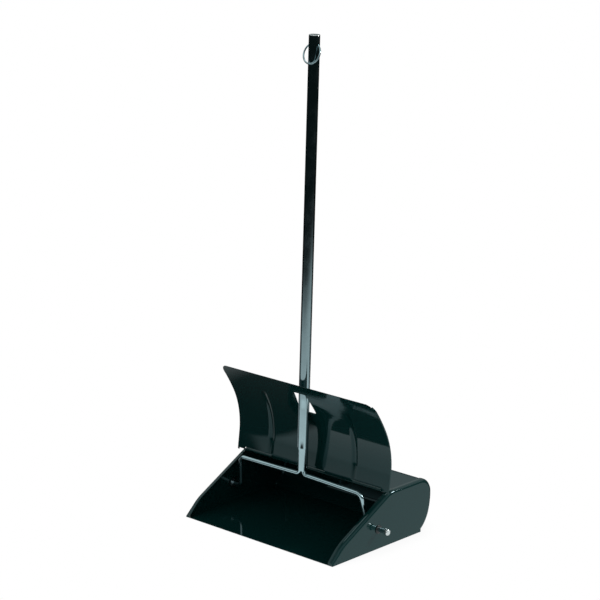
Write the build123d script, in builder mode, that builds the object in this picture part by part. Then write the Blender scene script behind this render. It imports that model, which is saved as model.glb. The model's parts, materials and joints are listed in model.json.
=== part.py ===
from build123d import *
import math
import os

# Self-closing lobby dust pan with a long handle. Millimetres, +Z up, -Y towards the sweeping lip.
# The origin is on the floor, under the middle of the pan. Side outlines are drawn on a plane whose
# own x runs back from the lip and whose own y runs up from the floor.

# ---- pan body -------------------------------------------------------------------------------
PAN_WIDTH = 305.0          # outside of one end panel to the outside of the other
PAN_DEPTH = 223.0          # lip to the back of the bin
PAN_HEIGHT = 83.0          # floor to the top of the end panels
SHEET = 0.9                # pan sheet steel
SHOULDER = 6.0             # outside bend radius round an end panel
FLANGE = 9.0               # how far an end panel turns in behind its bend
FLANGE_GONE = 45.0         # distance from the lip at which the turned-in flange has died away
NOSE = 5.0                 # upright edge of an end panel at the lip
HEEL_RADIUS = 51.0         # floor to back
BACK_RADIUS = 106.0        # the slightly bowed back
BACK_ANGLE = 16.5          # degrees of the back's arc
CROWN_RADIUS = 24.5        # back to top
RIM_KNEE = (20.6, 25.6)    # the mouth's rim is steep up to here and straight from here on
RIM_KNEE_RADIUS = 80.0
RIM_END = 128.0            # where the rim meets the level top
RIM_BLEND = 40.0           # radius where it does
LAP = 0.05                 # gap between lapped sheets
FLANGE_FOOT = 6.0          # no flange below this height, in front of the heel
HEEL_START = 189.0         # behind this the pan sheet narrows, inside the end panels' flanges
HEEL_LAP = 11.0            # length of floor that it leaves to them
SIDE_GAP = 0.15            # between the narrowed sheet and an end panel's bend

# ---- lid hinge and lid ----------------------------------------------------------------------
HINGE_BACK = 120.5         # lip to the hinge axis
PIN_RADIUS = 1.5
KNUCKLE_RADIUS = 2.5
HINGE_FIT = 0.05           # radial play of the pin
HINGE_SPAN = 280.0         # length of the row of knuckles
KNUCKLES = 5
KNUCKLE_GAP = 0.6
LID_SHEET = 0.7
LID_WIDTH = 312.6
LID_LEAN, LID_FLAT = 7.5, 25.0   # the lid starts flat, leaning back by this many degrees
LID_BEND = (108.7, 181.0)        # end of its tighter curve
LID_TOP = (79.5, 226.5)
LID_CORNER = 14.0
LID_CLEAR = 3.3            # lid's lower edge above the hinge axis, beside the knuckles
HEM = 4.0                  # width of the folded edge
HEM_THICK = 2.2            # doubled sheet, closed round a small bead
SLOT_LOW, SLOT_HIGH = 176.3, 210.0
SLOT_LOW_HALF, SLOT_HIGH_HALF = 18.0, 12.4
SLOT_CORNER = 3.5

# ---- handle and bail ------------------------------------------------------------------------
PIVOT_BACK, PIVOT_HEIGHT = 100.5, 30.5
ROD_RADIUS = 3.5
ARM_INSET = 20.0           # arm's lower bend inside an end panel's outer face
CORNER_HALF = 124.6        # bail's upper corners, either side of the middle
CORNER_BACK, CORNER_HEIGHT = 92.4, 80.8
LEG_HALF = 3.55            # the two legs stand side by side in the tube
LEG_ROUND = 2.6            # rounding of a leg's top end
LEG_TOP = 40.0             # crossbar to the top of a leg
BEND_LEG, BEND_CORNER, BEND_PIVOT = 6.5, 9.0, 9.0
JOURNAL_OUT = 20.0         # end of the cap beyond an end panel's outer face
JOURNAL_SHORT = 1.5        # the journal stops this far short of that
HANDLE_BACK, HANDLE_FOOT = 98.2, 88.0
HANDLE_LEAN = 2.28         # degrees, backwards
TUBE_RADIUS, TUBE_WALL = 8.4, 1.2
HANDLE_LENGTH = 658.0
NOTCH_PAST, NOTCH_HEIGHT, NOTCH_CORNER = 0.6, 36.0, 5.0
PLUG_RIM, PLUG_NECK, PLUG_EDGE = 2.0, 9.0, 1.2

# ---- pivots ---------------------------------------------------------------------------------
BUSH_FLANGE, BUSH_NECK, BUSH_COLLAR = 6.5, 5.0, 5.8
BUSH_RIM, COLLAR_THICK = 1.4, 1.0
RUNNING_FIT = 0.08
CAP_RADIUS, CAP_LENGTH, CAP_EDGE = 4.8, 6.5, 1.6
WASHER_RADIUS, WASHER_THICK, WASHER_GAP = 6.5, 1.2, 0.3

# ---- hang ring ------------------------------------------------------------------------------
RING_DROP = 13.0           # ring holes below the top of the tube
RING_OUTSIDE, RING_WIRE = 33.5, 2.5
RING_HOLE = 2.3
RING_TILT = 20.5           # degrees out from the tube, where the ring lies against it

PAST = 1.0                 # how far a cut runs past what it cuts
CUTTER = 30.0              # a cut's size where only its edge on the piece counts
LIP = -PAN_DEPTH / 2
MIDDLE = PAN_WIDTH / 2
TOP_UNDER = PAN_HEIGHT - SHEET - LAP - SHEET
HINGE_HEIGHT = TOP_UNDER + KNUCKLE_RADIUS
BORE = PIN_RADIUS + HINGE_FIT
WRAP_INSET = SHEET + LAP
KNUCKLE_PITCH = HINGE_SPAN / KNUCKLES


def side_plane(x):
    """Plane of a side outline at x: own x back from the lip, own y up, normal along +X."""
    return Plane(origin=(x, LIP, 0), x_dir=(0, 1, 0), z_dir=(1, 0, 0))


def back_outline(inset):
    """Floor, heel, back and crown, drawn from the lip round to the top, moved in by the inset."""
    crown = (PAN_DEPTH - CROWN_RADIUS, PAN_HEIGHT - CROWN_RADIUS)
    back = (PAN_DEPTH - BACK_RADIUS, crown[1])
    turn = math.radians(BACK_ANGLE)
    step = BACK_RADIUS - HEEL_RADIUS
    heel = (back[0] + step * math.cos(turn), back[1] - step * math.sin(turn))
    heel_low = -math.degrees(math.asin(heel[1] / (HEEL_RADIUS - inset)))
    foot_end = heel[0] + (HEEL_RADIUS - inset) * math.cos(math.radians(heel_low))
    Line((0, 0), (foot_end, 0))
    CenterArc(heel, HEEL_RADIUS - inset, heel_low, -BACK_ANGLE - heel_low)
    CenterArc(back, BACK_RADIUS - inset, -BACK_ANGLE, BACK_ANGLE)
    CenterArc(crown, CROWN_RADIUS - inset, 0, 90)


def lid_outline(thickness):
    """Closed outline of the lid's sheet in a side plane, its front face on the lid's curve."""
    lean = math.radians(LID_LEAN)
    foot = (HINGE_BACK - KNUCKLE_RADIUS, HINGE_HEIGHT)
    flat_end = (foot[0] + LID_FLAT * math.sin(lean), foot[1] + LID_FLAT * math.cos(lean))
    Line(foot, flat_end)
    lower = TangentArc(flat_end, LID_BEND, tangent=(math.sin(lean), math.cos(lean)))
    TangentArc(LID_BEND, LID_TOP, tangent=lower % 1)
    offset(amount=thickness, side=Side.RIGHT)


def station_middle(n):
    """Middle of a knuckle, counted along the hinge from the left."""
    return (n + 0.5) * KNUCKLE_PITCH - HINGE_SPAN / 2


lid_knuckles = [station_middle(n) for n in range(1, KNUCKLES, 2)]

# ---- end panels: drawn caps, their flange turned in behind a rounded shoulder -----------------
with BuildPart() as right_end_panel:
    with BuildSketch(side_plane(MIDDLE)) as end_outline:
        with BuildLine():
            Line((0, NOSE), (0, 0))
            back_outline(0.0)
            Line((PAN_DEPTH - CROWN_RADIUS, PAN_HEIGHT), (RIM_END, PAN_HEIGHT))
            Polyline((RIM_END, PAN_HEIGHT), RIM_KNEE, (0, NOSE))
        make_face()
        fillet(end_outline.vertices().sort_by_distance((RIM_END, PAN_HEIGHT))[0], RIM_BLEND)
        fillet(end_outline.vertices().sort_by_distance(RIM_KNEE)[0], RIM_KNEE_RADIUS)
    extrude(amount=-FLANGE)
    outer = right_end_panel.faces().sort_by(Axis.X)[-1]
    shoulder = [e for e in outer.edges() if e.center().Z > PAST and e.center().Y > LIP + PAST]
    fillet(shoulder, SHOULDER)
    inner = right_end_panel.faces().sort_by(Axis.X)[0]
    offset(amount=-SHEET, openings=inner)
    # the flange dies away towards the lip, and there is none along the foot
    with BuildSketch(Plane.XY.offset(-PAST)):
        with BuildLine():
            Polyline(
                (MIDDLE - SHEET, LIP - PAST),
                (MIDDLE - SHEET, LIP + FLANGE_GONE),
                (MIDDLE - FLANGE, LIP + RIM_END),
                (MIDDLE - FLANGE - PAST, LIP + RIM_END),
                (MIDDLE - FLANGE - PAST, LIP - PAST),
                close=True,
            )
        make_face()
    extrude(amount=PAN_HEIGHT + 2 * PAST, mode=Mode.SUBTRACT)
    with BuildSketch(side_plane(MIDDLE - SHEET)):
        with Locations((HEEL_START / 2 - PAST, FLANGE_FOOT / 2 - PAST)):
            Rectangle(HEEL_START + 2 * PAST, FLANGE_FOOT + 2 * PAST)
    extrude(amount=-FLANGE, mode=Mode.SUBTRACT)
    with BuildSketch(side_plane(MIDDLE + PAST)):
        with Locations((PIVOT_BACK, PIVOT_HEIGHT)):
            Circle(BUSH_NECK + LAP)
    extrude(amount=-FLANGE, mode=Mode.SUBTRACT)

with BuildPart() as left_end_panel:
    add(right_end_panel.part)
    mirror(about=Plane.YZ, mode=Mode.REPLACE)

# ---- pan sheet: floor, heel, back and top in one strip, with rolled hinge knuckles -------------
with BuildPart() as pan_sheet:
    with BuildSketch(side_plane(0)):
        with BuildLine():
            back_outline(WRAP_INSET)
            Line((PAN_DEPTH - CROWN_RADIUS, PAN_HEIGHT - WRAP_INSET), (HINGE_BACK, PAN_HEIGHT - WRAP_INSET))
            offset(amount=SHEET, side=Side.LEFT)
        make_face()
    extrude(amount=MIDDLE - WRAP_INSET, both=True)
    with BuildSketch(side_plane(0)):
        with Locations((HINGE_BACK, HINGE_HEIGHT)):
            Circle(KNUCKLE_RADIUS)
            Circle(BORE, mode=Mode.SUBTRACT)
    extrude(amount=HINGE_SPAN / 2, both=True)
    # between its knuckles the top stands back from the lid's knuckles
    with BuildSketch(Plane.XY.offset(PAN_HEIGHT / 2)):
        with Locations(*[(x, LIP + HINGE_BACK) for x in lid_knuckles]):
            Rectangle(KNUCKLE_PITCH + KNUCKLE_GAP, 2 * (KNUCKLE_RADIUS + KNUCKLE_GAP))
        # the strip is narrower where the end panels curve in, and at the corners of the top
        for side in (-1, 1):
            with Locations((side * MIDDLE, LIP + HINGE_BACK)):
                Rectangle(2 * (FLANGE + 2 * SIDE_GAP), CUTTER)
            with Locations((side * MIDDLE, LIP + PAN_DEPTH / 2)):
                Rectangle(2 * (SHOULDER + SIDE_GAP), PAN_DEPTH + 2 * PAST)
    extrude(amount=PAN_HEIGHT, mode=Mode.SUBTRACT)
    with BuildSketch(Plane.XY.offset(-PAST)):
        for side in (-1, 1):
            with Locations((side * MIDDLE, LIP + HEEL_START + PAN_DEPTH / 2)):
                Rectangle(2 * (SHOULDER + SIDE_GAP), PAN_DEPTH)
            with Locations((side * MIDDLE, LIP + HEEL_START + HEEL_LAP / 2)):
                Rectangle(2 * (FLANGE + SIDE_GAP), HEEL_LAP)
    extrude(amount=PAN_HEIGHT / 2 + 2 * PAST, mode=Mode.SUBTRACT)

with BuildPart() as lid_hinge_pin:
    with BuildSketch(side_plane(-HINGE_SPAN / 2)):
        with Locations((HINGE_BACK, HINGE_HEIGHT)):
            Circle(PIN_RADIUS)
    extrude(amount=HINGE_SPAN)

# ---- lid: one curved sheet with folded edges, a slot for the handle and two knuckles -----------
with BuildPart() as lid:
    with BuildSketch(side_plane(0)):
        with BuildLine():
            lid_outline(LID_SHEET)
        make_face()
    extrude(amount=LID_WIDTH / 2, both=True)
    for end in (-1, 1):
        with BuildSketch(side_plane(end * (LID_WIDTH / 2 - HEM))):
            with BuildLine():
                lid_outline(HEM_THICK)
            make_face()
        extrude(amount=end * HEM)
    # a plain lower edge beside the knuckles
    lower = HINGE_HEIGHT + LID_CLEAR
    with BuildSketch(Plane.XZ.offset(-LIP)):
        with Locations((0, lower - CUTTER / 2)):
            Rectangle(LID_WIDTH + 2 * PAST, CUTTER)
        for x in lid_knuckles:
            with Locations((x, lower - CUTTER / 2)):
                Rectangle(KNUCKLE_PITCH - KNUCKLE_GAP, CUTTER + 2 * PAST, mode=Mode.SUBTRACT)
    extrude(amount=-PAN_DEPTH, mode=Mode.SUBTRACT)
    with BuildSketch(*[side_plane(x) for x in lid_knuckles]):
        with Locations((HINGE_BACK, HINGE_HEIGHT)):
            Circle(KNUCKLE_RADIUS)
            Circle(BORE, mode=Mode.SUBTRACT)
    extrude(amount=(KNUCKLE_PITCH - KNUCKLE_GAP) / 2, both=True)
    # the handle's slot, and the rounded upper corners
    with BuildSketch(Plane.XZ.offset(-LIP)):
        with BuildLine():
            Polyline(
                (-SLOT_LOW_HALF, SLOT_LOW),
                (SLOT_LOW_HALF, SLOT_LOW),
                (SLOT_HIGH_HALF, SLOT_HIGH),
                (-SLOT_HIGH_HALF, SLOT_HIGH),
                close=True,
            )
        slot = make_face()
        fillet(slot.vertices(), SLOT_CORNER)
        for side in (-1, 1):
            with BuildLine():
                x_edge, z_edge = side * LID_WIDTH / 2, LID_TOP[1] + HEM_THICK
                Line((x_edge, z_edge - LID_CORNER), (x_edge, z_edge))
                Line((x_edge, z_edge), (x_edge - side * LID_CORNER, z_edge))
                RadiusArc(
                    (x_edge - side * LID_CORNER, z_edge),
                    (x_edge, z_edge - LID_CORNER),
                    side * LID_CORNER,
                )
            make_face()
    extrude(amount=-PAN_DEPTH, mode=Mode.SUBTRACT)

# ---- bail: two bent rods, their legs side by side in the handle tube ---------------------------
lean = math.radians(HANDLE_LEAN)
up = Vector(0, math.sin(lean), math.cos(lean))
foot_point = Vector(0, LIP + HANDLE_BACK, HANDLE_FOOT)


def bail_point(x, back, height):
    return Vector(x, LIP + back, height)


leg_foot = foot_point + up * ((CORNER_HEIGHT - HANDLE_FOOT) / up.Z)
with BuildPart() as bail_right_rod:
    with BuildLine():
        rod_path = FilletPolyline(
            leg_foot + Vector(LEG_HALF, 0, 0) + up * LEG_TOP,
            leg_foot + Vector(LEG_HALF, 0, 0),
            bail_point(CORNER_HALF, CORNER_BACK, CORNER_HEIGHT),
            bail_point(MIDDLE - ARM_INSET, PIVOT_BACK, PIVOT_HEIGHT),
            bail_point(MIDDLE + JOURNAL_OUT - JOURNAL_SHORT, PIVOT_BACK, PIVOT_HEIGHT),
            radius=(BEND_LEG, BEND_CORNER, BEND_PIVOT),
        )
    with BuildSketch(Plane(origin=rod_path @ 0, z_dir=rod_path % 0)):
        Circle(ROD_RADIUS)
    sweep(path=rod_path)
    leg_top = bail_right_rod.faces().sort_by(Axis.Z)[-1]
    fillet(leg_top.edges(), LEG_ROUND)

with BuildPart() as bail_left_rod:
    add(bail_right_rod.part)
    mirror(about=Plane.YZ, mode=Mode.REPLACE)

# ---- handle tube: open at the front left of its foot, cross-drilled at the top ------------------
with BuildPart() as handle_tube:
    with BuildSketch(Plane(origin=foot_point, x_dir=(1, 0, 0), z_dir=up)):
        Circle(TUBE_RADIUS)
        Circle(TUBE_RADIUS - TUBE_WALL, mode=Mode.SUBTRACT)
    extrude(amount=HANDLE_LENGTH)
    front_of_tube = Plane(origin=foot_point, x_dir=(1, 0, 0), z_dir=(0, -up.Z, up.Y))
    with BuildSketch(front_of_tube):
        with BuildLine():
            Polyline(
                (-TUBE_RADIUS - PAST, -PAST),
                (NOTCH_PAST, -PAST),
                (NOTCH_PAST, NOTCH_HEIGHT),
                (-TUBE_RADIUS - PAST, NOTCH_HEIGHT),
                close=True,
            )
        notch = make_face()
        fillet(notch.vertices().sort_by(Axis.Z)[-2:], NOTCH_CORNER)
    extrude(amount=TUBE_RADIUS + PAST, mode=Mode.SUBTRACT)
    ring_centre = foot_point + up * (HANDLE_LENGTH - RING_DROP)
    with BuildSketch(Plane(origin=ring_centre, x_dir=(0, 1, 0), z_dir=(1, 0, 0))):
        Circle(RING_HOLE)
    extrude(amount=TUBE_RADIUS + PAST, both=True, mode=Mode.SUBTRACT)

tube_top = foot_point + up * HANDLE_LENGTH
with BuildPart() as handle_plug:
    with BuildSketch(Plane(origin=tube_top, x_dir=(1, 0, 0), z_dir=up)):
        Circle(TUBE_RADIUS)
    extrude(amount=PLUG_RIM)
    fillet(handle_plug.edges().sort_by(Axis.Z)[-1], PLUG_EDGE)
    with BuildSketch(Plane(origin=tube_top, x_dir=(1, 0, 0), z_dir=up)):
        Circle(TUBE_RADIUS - TUBE_WALL - LAP)
    extrude(amount=-PLUG_NECK)

# ---- hang ring ---------------------------------------------------------------------------------
ring_mean = (RING_OUTSIDE - RING_WIRE) / 2
ring_reach = math.sqrt(ring_mean**2 - (TUBE_RADIUS - TUBE_WALL / 2) ** 2)
hang = math.radians(HANDLE_LEAN + RING_TILT)
hang_dir = Vector(0, -math.sin(hang), -math.cos(hang))
with BuildPart() as hang_ring:
    ring_middle = ring_centre + hang_dir * ring_reach
    with BuildSketch(Plane(origin=ring_middle, x_dir=hang_dir, z_dir=(1, 0, 0))):
        with Locations((ring_mean, 0)):
            Circle(RING_WIRE / 2)
    ring_axis = Axis(ring_middle, Vector(1, 0, 0).cross(hang_dir))
    revolve(axis=ring_axis)

# ---- pivots: bush in the wall, washer inside it, push-on cap on the journal ---------------------
with BuildPart() as right_pivot_bush:
    with BuildSketch(side_plane(MIDDLE + LAP)):
        with Locations((PIVOT_BACK, PIVOT_HEIGHT)):
            Circle(BUSH_FLANGE)
    extrude(amount=BUSH_RIM)
    fillet(right_pivot_bush.faces().sort_by(Axis.X)[-1].edges(), BUSH_RIM / 2)
    with BuildSketch(side_plane(MIDDLE + LAP)):
        with Locations((PIVOT_BACK, PIVOT_HEIGHT)):
            Circle(BUSH_NECK)
    extrude(amount=-(SHEET + 2 * LAP))
    with BuildSketch(side_plane(MIDDLE - SHEET - LAP)):
        with Locations((PIVOT_BACK, PIVOT_HEIGHT)):
            Circle(BUSH_COLLAR)
    extrude(amount=-COLLAR_THICK)
    with BuildSketch(side_plane(MIDDLE)):
        with Locations((PIVOT_BACK, PIVOT_HEIGHT)):
            Circle(ROD_RADIUS + RUNNING_FIT)
    extrude(amount=BUSH_FLANGE, both=True, mode=Mode.SUBTRACT)

with BuildPart() as right_pivot_washer:
    with BuildSketch(side_plane(MIDDLE - SHEET - LAP - COLLAR_THICK - WASHER_GAP)):
        with Locations((PIVOT_BACK, PIVOT_HEIGHT)):
            Circle(WASHER_RADIUS)
            Circle(ROD_RADIUS + RUNNING_FIT, mode=Mode.SUBTRACT)
    extrude(amount=-WASHER_THICK)

with BuildPart() as right_pivot_cap:
    with BuildSketch(side_plane(MIDDLE + JOURNAL_OUT)):
        with Locations((PIVOT_BACK, PIVOT_HEIGHT)):
            Circle(CAP_RADIUS)
    extrude(amount=-CAP_LENGTH)
    fillet(right_pivot_cap.faces().sort_by(Axis.X)[-1].edges(), CAP_EDGE)
    with BuildSketch(side_plane(MIDDLE + JOURNAL_OUT - JOURNAL_SHORT)):
        with Locations((PIVOT_BACK, PIVOT_HEIGHT)):
            Circle(ROD_RADIUS + LAP)
    extrude(amount=-CAP_LENGTH, mode=Mode.SUBTRACT)

with BuildPart() as left_pivot_bush:
    add(right_pivot_bush.part)
    mirror(about=Plane.YZ, mode=Mode.REPLACE)

with BuildPart() as left_pivot_washer:
    add(right_pivot_washer.part)
    mirror(about=Plane.YZ, mode=Mode.REPLACE)

with BuildPart() as left_pivot_cap:
    add(right_pivot_cap.part)
    mirror(about=Plane.YZ, mode=Mode.REPLACE)

# ---- one STEP file for each piece ---------------------------------------------------------------
pieces = {
    "pan_sheet": pan_sheet,
    "left_end_panel": left_end_panel,
    "right_end_panel": right_end_panel,
    "lid_hinge_pin": lid_hinge_pin,
    "lid": lid,
    "bail_left_rod": bail_left_rod,
    "bail_right_rod": bail_right_rod,
    "handle_tube": handle_tube,
    "handle_plug": handle_plug,
    "hang_ring": hang_ring,
    "left_pivot_bush": left_pivot_bush,
    "right_pivot_bush": right_pivot_bush,
    "left_pivot_washer": left_pivot_washer,
    "right_pivot_washer": right_pivot_washer,
    "left_pivot_cap": left_pivot_cap,
    "right_pivot_cap": right_pivot_cap,
}
os.makedirs("parts", exist_ok=True)
for piece_name, piece in pieces.items():
    piece.part.label = piece_name
    export_step(piece.part, f"parts/{piece_name}.step")
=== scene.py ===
"""Looks of a self-closing lobby dust pan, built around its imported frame.

Lengths are given in millimetres in the dataclasses and turned to metres with MM. The frame is the
part's own: +Z up, -Y towards the sweeping lip, +X towards the right end panel.
"""

import json
import logging
import math
from dataclasses import dataclass, field
from enum import Enum
from typing import Callable

import bmesh
import bpy
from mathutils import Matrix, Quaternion, Vector


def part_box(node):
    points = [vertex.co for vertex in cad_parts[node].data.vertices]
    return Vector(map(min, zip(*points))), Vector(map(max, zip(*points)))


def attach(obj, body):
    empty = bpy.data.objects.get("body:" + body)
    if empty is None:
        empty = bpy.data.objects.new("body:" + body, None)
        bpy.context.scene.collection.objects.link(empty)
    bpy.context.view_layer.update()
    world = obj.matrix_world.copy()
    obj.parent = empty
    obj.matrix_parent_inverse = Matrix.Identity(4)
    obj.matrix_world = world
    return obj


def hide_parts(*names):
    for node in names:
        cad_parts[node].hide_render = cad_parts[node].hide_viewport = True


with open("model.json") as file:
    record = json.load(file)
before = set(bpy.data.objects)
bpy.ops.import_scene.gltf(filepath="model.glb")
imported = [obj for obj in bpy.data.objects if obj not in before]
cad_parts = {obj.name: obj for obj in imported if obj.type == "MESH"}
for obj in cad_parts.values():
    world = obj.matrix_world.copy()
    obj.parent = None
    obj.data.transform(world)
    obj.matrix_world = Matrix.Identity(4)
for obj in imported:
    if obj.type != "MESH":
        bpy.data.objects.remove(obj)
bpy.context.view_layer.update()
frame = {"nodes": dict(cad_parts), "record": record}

MM = 0.001
RIGHT = Vector((1.0, 0.0, 0.0))
BACK = Vector((0.0, 1.0, 0.0))
UP = Vector((0.0, 0.0, 1.0))
TOUCH = 1e-6
WHITE = (1.0, 1.0, 1.0, 1.0)
Plane = tuple[Vector, Vector]

log = logging.getLogger("dust_pan")


class Side(Enum):
    """The two ends of the pan."""

    LEFT = -1
    RIGHT = 1


class Elements(Enum):
    """What an edit-mode selection is made of."""

    POINTS = "VERT"
    EDGES = "EDGE"
    FACES = "FACE"


# ---- modelling by hand -------------------------------------------------------------------------


def clear_selection() -> None:
    """Leaves edit mode and deselects every object."""
    if bpy.context.object and bpy.context.object.mode == "EDIT":
        bpy.ops.object.mode_set(mode="OBJECT")
    bpy.ops.object.select_all(action="DESELECT")


def take(piece: bpy.types.Object) -> bpy.types.Object:
    """Makes a piece the only selected and the active object.

    Args:
        piece: The object to work on.

    Returns:
        The same object.
    """
    clear_selection()
    piece.select_set(True)
    bpy.context.view_layer.objects.active = piece
    return piece


def fix_place() -> None:
    """Moves the active object's place, turn and scale into its mesh."""
    bpy.ops.object.transform_apply(location=True, rotation=True, scale=True)


def edit() -> None:
    """Opens the active object in edit mode."""
    bpy.ops.object.mode_set(mode="EDIT")


def done() -> None:
    """Goes back to object mode."""
    bpy.ops.object.mode_set(mode="OBJECT")


def choose_all() -> None:
    """Selects the whole mesh in edit mode."""
    bpy.ops.mesh.select_all(action="SELECT")


def choose(kind: Elements, test: Callable[[Vector, Vector], bool]) -> None:
    """Selects parts of the mesh in edit mode by their middle and normal.

    Args:
        kind: Points, edges or faces.
        test: Says of a middle and a normal whether the part is wanted.
    """
    mesh = bpy.context.object.data
    bpy.ops.mesh.select_mode(type=kind.value)
    bpy.ops.mesh.select_all(action="DESELECT")
    shape = bmesh.from_edit_mesh(mesh)
    if kind is Elements.POINTS:
        wanted = [v for v in shape.verts if test(v.co, v.normal)]
    elif kind is Elements.EDGES:
        wanted = [e for e in shape.edges if test((e.verts[0].co + e.verts[1].co) / 2,
                                                 (e.verts[0].normal + e.verts[1].normal) / 2)]
    else:
        wanted = [f for f in shape.faces if test(f.calc_center_median(), f.normal)]
    for part in wanted:
        part.select_set(True)
    shape.select_flush_mode()
    bmesh.update_edit_mesh(mesh)


def drop_faces() -> None:
    """Deletes the selected faces."""
    bpy.ops.mesh.delete(type="FACE")


def drag(by: Vector) -> None:
    """Extrudes what is selected along a straight line."""
    bpy.ops.mesh.extrude_region_move(TRANSFORM_OT_translate={"value": by})


def swing(centre: Vector, axis: Vector, turn: float, steps: int) -> None:
    """Extrudes what is selected round an arc, by the right-hand rule.

    Args:
        centre: A point on the axis.
        axis: Direction of the axis.
        turn: Angle in radians.
        steps: Number of strips the arc is made of.
    """
    bpy.ops.mesh.spin(steps=steps, angle=-turn, center=centre, axis=axis)


def trace_bends(route: list[Vector], bends: list[float], steps: int) -> None:
    """Extrudes what is selected along straight runs joined by tangent bends.

    Args:
        route: Where the selection stands, then each corner, then the end.
        bends: Radius of the bend at each inner corner.
        steps: Strips to each bend.
    """
    here = route[0]
    for corner, following, bend in zip(route[1:-1], route[2:], bends):
        before = (corner - here).normalized()
        after = (following - corner).normalized()
        turn = before.angle(after)
        cut = bend * math.tan(turn / 2.0)
        drag(corner - before * cut - here)
        axis = before.cross(after).normalized()
        swing(corner - before * cut + axis.cross(before) * bend, axis, turn, steps)
        here = corner + after * cut
    drag(route[-1] - here)


def slice_at(point: Vector, normal: Vector, drop_outer: bool = False) -> None:
    """Cuts what is selected with a plane, and may drop the part on the normal's side."""
    bpy.ops.mesh.bisect(plane_co=point, plane_no=normal, clear_outer=drop_outer)


def corner_planes(centre: Vector, across: Vector, radius: float, steps: int = 8) -> list[Plane]:
    """Planes that round an upper corner, each a point and its outward normal."""
    turns = [math.pi / 2.0 * step / steps for step in range(1, steps)]
    normals = [across * math.cos(turn) + UP * math.sin(turn) for turn in turns]
    return [(centre + normal * radius, normal) for normal in normals]


def carve(planes: list[Plane], near: Callable[[Vector], bool]) -> None:
    """Cuts out the faces that lie inside all of a ring of planes.

    The faces are sliced first and deleted afterwards, because a cut that drops its outer side takes
    neighbours that share the cut's corner points as well.

    Args:
        planes: Planes round the opening, each a point and its outward normal.
        near: Says of a face's middle whether the cuts may reach it.
    """
    for point, outward in planes:
        choose(Elements.FACES, lambda middle, _: near(middle))
        slice_at(point, outward)
    choose(Elements.FACES, lambda middle, _: near(middle) and all(
        (middle - point).dot(outward) < 0.0 for point, outward in planes))
    drop_faces()


def weld(distance: float = 0.01 * MM) -> None:
    """Merges points that lie on each other, all over the mesh in edit mode."""
    choose_all()
    bpy.ops.mesh.remove_doubles(threshold=distance)


def face_out() -> None:
    """Turns all faces outwards, after their doubles are merged."""
    weld()
    bpy.ops.mesh.normals_make_consistent(inside=False)


def stand_along(piece: bpy.types.Object, axis: Vector, place: Vector) -> None:
    """Turns a piece's +Z to an axis, moves it to its place and keeps both in its mesh."""
    take(piece)
    piece.rotation_mode = "QUATERNION"
    piece.rotation_quaternion = UP.rotation_difference(axis)
    piece.location = place
    fix_place()


def flat_sheet(name: str, size: tuple[float, float], place: Vector,
               tilt: float = 0.0) -> bpy.types.Object:
    """A flat rectangle, left open in edit mode.

    Args:
        name: The piece's name.
        size: Its width along +X and its length.
        place: Its middle.
        tilt: Turn about +X in radians.

    Returns:
        The rectangle.
    """
    clear_selection()
    bpy.ops.mesh.primitive_plane_add(size=1.0)
    sheet = bpy.context.object
    sheet.name = name
    sheet.scale = (*size, 1.0)
    sheet.rotation_euler = (tilt, 0.0, 0.0)
    sheet.location = place
    fix_place()
    edit()
    return sheet


def open_wire(name: str, facets: int, radius: float, heading: Vector,
              place: Vector) -> bpy.types.Object:
    """The circle that a wire starts from, selected and left open in edit mode.

    Args:
        name: The piece's name.
        facets: Facets round the wire.
        radius: The wire's own radius.
        heading: Direction that the wire starts in.
        place: Where it starts.

    Returns:
        The circle.
    """
    clear_selection()
    bpy.ops.mesh.primitive_circle_add(vertices=facets, radius=radius)
    wire = bpy.context.object
    wire.name = name
    stand_along(wire, heading, place)
    edit()
    bpy.ops.mesh.select_mode(type="EDGE")
    choose_all()
    return wire


def close_wire() -> None:
    """Closes both ends of a wire and goes back to object mode."""
    bpy.ops.mesh.select_all(action="DESELECT")
    bpy.ops.mesh.select_non_manifold()
    bpy.ops.mesh.edge_face_add()
    face_out()
    done()


def press(depth: Vector, half: float) -> None:
    """Presses the selected points in, with a soft shoulder to each side."""
    bpy.ops.transform.translate(value=depth, use_proportional_edit=True,
                                proportional_edit_falloff="SMOOTH", proportional_size=half)


def modify(piece: bpy.types.Object, kind: str, **settings: object) -> None:
    """Adds a modifier with its settings and applies it.

    Args:
        piece: The object, which becomes the active one.
        kind: The modifier's type.
        **settings: Its properties.
    """
    take(piece)
    modifier = piece.modifiers.new(kind.lower(), kind)
    for name, value in settings.items():
        setattr(modifier, name, value)
    bpy.ops.object.modifier_apply(modifier=modifier.name)


def smooth(piece: bpy.types.Object, angle: float = 35.0) -> bpy.types.Object:
    """Shades a piece smooth but for edges sharper than an angle in degrees."""
    take(piece)
    bpy.ops.object.shade_smooth_by_angle(angle=math.radians(angle))
    modify(piece, "WEIGHTED_NORMAL", keep_sharp=True, weight=70)
    return piece


def join(name: str, pieces: list[bpy.types.Object]) -> bpy.types.Object:
    """Joins meshes into one object.

    Args:
        name: The joined object's name.
        pieces: The objects, of which the first stays.

    Returns:
        The joined object.
    """
    take(pieces[0])
    for piece in pieces:
        piece.select_set(True)
    bpy.ops.object.join()
    whole = bpy.context.object
    whole.name = name
    return whole


def mirrored(piece: bpy.types.Object, name: str) -> bpy.types.Object:
    """A copy of a piece, with its own mesh, on the other side of the middle.

    Args:
        piece: The finished piece.
        name: The copy's name.

    Returns:
        The mirrored copy, with its faces outwards.
    """
    twin = piece.copy()
    twin.data = piece.data.copy()
    twin.name = name
    bpy.context.scene.collection.objects.link(twin)
    take(twin)
    edit()
    choose_all()
    bpy.ops.transform.resize(value=(-1.0, 1.0, 1.0), center_override=(0.0, 0.0, 0.0))
    bpy.ops.mesh.flip_normals()
    done()
    return twin


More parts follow.
